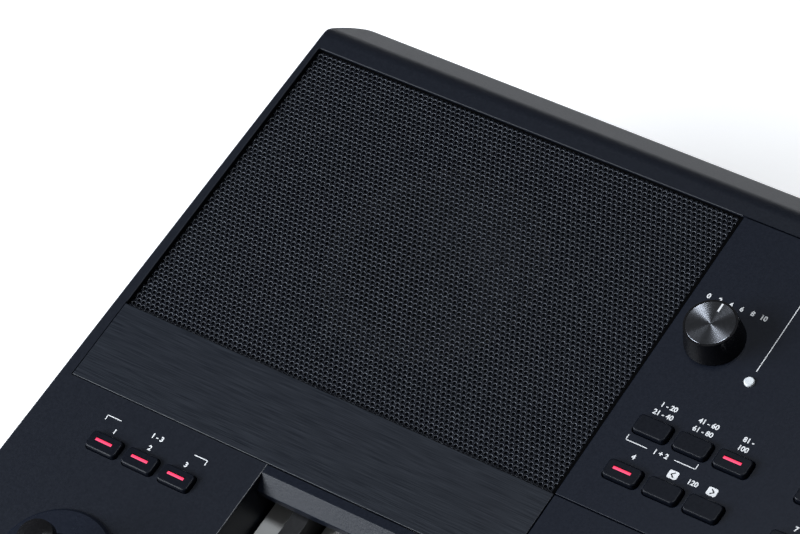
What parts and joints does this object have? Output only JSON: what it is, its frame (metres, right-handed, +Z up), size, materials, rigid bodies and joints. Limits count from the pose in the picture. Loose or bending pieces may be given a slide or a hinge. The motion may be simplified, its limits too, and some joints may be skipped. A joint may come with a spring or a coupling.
{
  "type": "arranger keyboard",
  "caption": "Arranger keyboard with full-size keys, perforated speaker grilles, brushed trim, lit push buttons, a volume knob, a dial, a display and a joystick.",
  "frame": {"origin": "middle of the footprint on the table", "axes": "+X along the keys to the high notes, +Y to the rear, +Z up"},
  "size_m": [1.0004, 0.392, 0.1435],
  "materials": {
    "case_black": "fine matte",
    "panel_black": "fine matte",
    "brushed_trim": "brushed along the keys",
    "grille_black": "satin, perforated",
    "driver_steel": "satin",
    "cone_black": "matte",
    "display_glass": "clear",
    "display_dark": "dark",
    "white_lens": "gloss",
    "board_green": "solder mask",
    "chassis_plastic": "matte",
    "contact_grey": "matte",
    "spring_steel": "bright",
    "felt_red": "felt",
    "socket_black": "matte",
    "port_metal": "bright",
    "foot_rubber": "matte",
    "screw_steel": "black zinc",
    "button_black": "satin",
    "key_white": "gloss",
    "key_black": "satin",
    "knob_black": "gloss",
    "knob_metal": "spun"
  },
  "bodies": {
    "case": {"lower_case": "case_black", "upper_case": "case_black", "left_cheek": "case_black", "right_cheek": "case_black", "front_rail": "case_black", "key_lip": "case_black", "trim_plates": "brushed_trim", "speaker_grilles": "grille_black", "speaker_boxes": "chassis_plastic", "speaker_frames": "driver_steel", "speaker_cones": "cone_black", "control_panel": "panel_black", "center_strip": "panel_black", "panel_frame": "chassis_plastic", "display_window": "display_glass", "display_module": "display_dark", "indicator_lens": "white_lens", "circuit_boards": "board_green", "joystick_housing": "panel_black", "key_chassis": "chassis_plastic", "contact_rubber": "contact_grey", "key_springs": "spring_steel", "stop_felt": "felt_red", "jack_plate": "panel_black", "jack_sockets": "socket_black", "usb_ports": "port_metal", "rubber_feet": "foot_rubber", "case_screws": "screw_steel"},
    "keys_c": {"keys_c": "key_white"},
    "keys_c_sharp": {"keys_c_sharp": "key_black"},
    "keys_d": {"keys_d": "key_white"},
    "keys_d_sharp": {"keys_d_sharp": "key_black"},
    "keys_e": {"keys_e": "key_white"},
    "keys_f": {"keys_f": "key_white"},
    "keys_f_sharp": {"keys_f_sharp": "key_black"},
    "keys_g": {"keys_g": "key_white"},
    "keys_g_sharp": {"keys_g_sharp": "key_black"},
    "keys_a": {"keys_a": "key_white"},
    "keys_a_sharp": {"keys_a_sharp": "key_black"},
    "keys_b": {"keys_b": "key_white"},
    "assign_switch_1": {"assign_switch_1": "button_black"},
    "assign_switch_2": {"assign_switch_2": "button_black"},
    "assign_switch_3": {"assign_switch_3": "button_black"},
    "select_button_1": {"select_button_1": "button_black"},
    "select_button_2": {"select_button_2": "button_black"},
    "select_button_3": {"select_button_3": "button_black"},
    "tap_button": {"tap_button": "button_black"},
    "tempo_down_button": {"tempo_down_button": "button_black"},
    "tempo_up_button": {"tempo_up_button": "button_black"},
    "style_buttons": {"style_buttons": "button_black"},
    "voice_buttons": {"voice_buttons": "button_black"},
    "menu_buttons": {"menu_buttons": "button_black"},
    "accompaniment_buttons": {"accompaniment_buttons": "button_black"},
    "power_button": {"power_button": "button_black"},
    "volume_knob": {"volume_knob": "knob_black", "volume_knob_cap": "knob_metal"},
    "value_dial": {"value_dial": "knob_black"},
    "joystick_gimbal": {"joystick_gimbal": "chassis_plastic"},
    "joystick_lever": {"joystick_lever": "knob_black"}
  },
  "joints": [
    {"name": "keys_c_press", "type": "hinge", "parent": "case", "child": "keys_c", "pos_m": [0, -0.0079, 0.084], "axis": [1, 0, 0], "range_deg": [0, 3.3], "stiffness_Nm_per_rad": 4, "springref_deg": -14.32},
    {"name": "keys_c_sharp_press", "type": "hinge", "parent": "case", "child": "keys_c_sharp", "pos_m": [0, -0.0079, 0.084], "axis": [1, 0, 0], "range_deg": [0, 3.3], "stiffness_Nm_per_rad": 4, "springref_deg": -14.32},
    {"name": "keys_d_press", "type": "hinge", "parent": "case", "child": "keys_d", "pos_m": [0, -0.0079, 0.084], "axis": [1, 0, 0], "range_deg": [0, 3.3], "stiffness_Nm_per_rad": 4, "springref_deg": -14.32},
    {"name": "keys_d_sharp_press", "type": "hinge", "parent": "case", "child": "keys_d_sharp", "pos_m": [0, -0.0079, 0.084], "axis": [1, 0, 0], "range_deg": [0, 3.3], "stiffness_Nm_per_rad": 4, "springref_deg": -14.32},
    {"name": "keys_e_press", "type": "hinge", "parent": "case", "child": "keys_e", "pos_m": [0, -0.0079, 0.084], "axis": [1, 0, 0], "range_deg": [0, 3.3], "stiffness_Nm_per_rad": 4, "springref_deg": -14.32},
    {"name": "keys_f_press", "type": "hinge", "parent": "case", "child": "keys_f", "pos_m": [0, -0.0079, 0.084], "axis": [1, 0, 0], "range_deg": [0, 3.3], "stiffness_Nm_per_rad": 4, "springref_deg": -14.32},
    {"name": "keys_f_sharp_press", "type": "hinge", "parent": "case", "child": "keys_f_sharp", "pos_m": [0, -0.0079, 0.084], "axis": [1, 0, 0], "range_deg": [0, 3.3], "stiffness_Nm_per_rad": 4, "springref_deg": -14.32},
    {"name": "keys_g_press", "type": "hinge", "parent": "case", "child": "keys_g", "pos_m": [0, -0.0079, 0.084], "axis": [1, 0, 0], "range_deg": [0, 3.3], "stiffness_Nm_per_rad": 4, "springref_deg": -14.32},
    {"name": "keys_g_sharp_press", "type": "hinge", "parent": "case", "child": "keys_g_sharp", "pos_m": [0, -0.0079, 0.084], "axis": [1, 0, 0], "range_deg": [0, 3.3], "stiffness_Nm_per_rad": 4, "springref_deg": -14.32},
    {"name": "keys_a_press", "type": "hinge", "parent": "case", "child": "keys_a", "pos_m": [0, -0.0079, 0.084], "axis": [1, 0, 0], "range_deg": [0, 3.3], "stiffness_Nm_per_rad": 4, "springref_deg": -14.32},
    {"name": "keys_a_sharp_press", "type": "hinge", "parent": "case", "child": "keys_a_sharp", "pos_m": [0, -0.0079, 0.084], "axis": [1, 0, 0], "range_deg": [0, 3.3], "stiffness_Nm_per_rad": 4, "springref_deg": -14.32},
    {"name": "keys_b_press", "type": "hinge", "parent": "case", "child": "keys_b", "pos_m": [0, -0.0079, 0.084], "axis": [1, 0, 0], "range_deg": [0, 3.3], "stiffness_Nm_per_rad": 4, "springref_deg": -14.32},
    {"name": "assign_switch_1_press", "type": "slide", "parent": "case", "child": "assign_switch_1", "axis": [0, 0, -1], "range_m": [0, 0.001], "stiffness_N_per_m": 400, "springref_m": -0.002},
    {"name": "assign_switch_2_press", "type": "slide", "parent": "case", "child": "assign_switch_2", "axis": [0, 0, -1], "range_m": [0, 0.001], "stiffness_N_per_m": 400, "springref_m": -0.002},
    {"name": "assign_switch_3_press", "type": "slide", "parent": "case", "child": "assign_switch_3", "axis": [0, 0, -1], "range_m": [0, 0.001], "stiffness_N_per_m": 400, "springref_m": -0.002},
    {"name": "select_button_1_press", "type": "slide", "parent": "case", "child": "select_button_1", "axis": [0, 0, -1], "range_m": [0, 0.001], "stiffness_N_per_m": 400, "springref_m": -0.002},
    {"name": "select_button_2_press", "type": "slide", "parent": "case", "child": "select_button_2", "axis": [0, 0, -1], "range_m": [0, 0.001], "stiffness_N_per_m": 400, "springref_m": -0.002},
    {"name": "select_button_3_press", "type": "slide", "parent": "case", "child": "select_button_3", "axis": [0, 0, -1], "range_m": [0, 0.001], "stiffness_N_per_m": 400, "springref_m": -0.002},
    {"name": "tap_button_press", "type": "slide", "parent": "case", "child": "tap_button", "axis": [0, 0, -1], "range_m": [0, 0.001], "stiffness_N_per_m": 400, "springref_m": -0.002},
    {"name": "tempo_down_button_press", "type": "slide", "parent": "case", "child": "tempo_down_button", "axis": [0, 0, -1], "range_m": [0, 0.001], "stiffness_N_per_m": 400, "springref_m": -0.002},
    {"name": "tempo_up_button_press", "type": "slide", "parent": "case", "child": "tempo_up_button", "axis": [0, 0, -1], "range_m": [0, 0.001], "stiffness_N_per_m": 400, "springref_m": -0.002},
    {"name": "style_buttons_press", "type": "slide", "parent": "case", "child": "style_buttons", "axis": [0, 0, -1], "range_m": [0, 0.001], "stiffness_N_per_m": 2400, "springref_m": -0.002},
    {"name": "voice_buttons_press", "type": "slide", "parent": "case", "child": "voice_buttons", "axis": [0, 0, -1], "range_m": [0, 0.001], "stiffness_N_per_m": 2800, "springref_m": -0.002},
    {"name": "menu_buttons_press", "type": "slide", "parent": "case", "child": "menu_buttons", "axis": [0, 0, -1], "range_m": [0, 0.001], "stiffness_N_per_m": 800, "springref_m": -0.002},
    {"name": "accompaniment_buttons_press", "type": "slide", "parent": "case", "child": "accompaniment_buttons", "axis": [0, 0, -1], "range_m": [0, 0.001], "stiffness_N_per_m": 2400, "springref_m": -0.002},
    {"name": "power_button_press", "type": "slide", "parent": "case", "child": "power_button", "axis": [0, -1, 0], "range_m": [0, 0.002], "stiffness_N_per_m": 500, "springref_m": -0.003},
    {"name": "volume_turn", "type": "hinge", "parent": "case", "child": "volume_knob", "pos_m": [-0.2405, 0.1087, 0.116], "axis": [0, 0, 1], "range_deg": [-150, 150]},
    {"name": "dial_turn", "type": "hinge", "parent": "case", "child": "value_dial", "pos_m": [0.138, 0.1178, 0.116], "axis": [0, 0, 1], "continuous": true},
    {"name": "stick_fore_aft", "type": "hinge", "parent": "case", "child": "joystick_gimbal", "pos_m": [-0.4403, -0.1129, 0.106], "axis": [1, 0, 0], "range_deg": [-15, 15], "stiffness_Nm_per_rad": 0.4},
    {"name": "stick_sideways", "type": "hinge", "parent": "joystick_gimbal", "child": "joystick_lever", "pos_m": [-0.4403, -0.1129, 0.106], "axis": [0, 1, 0], "range_deg": [-15, 15], "stiffness_Nm_per_rad": 0.4}
  ]
}
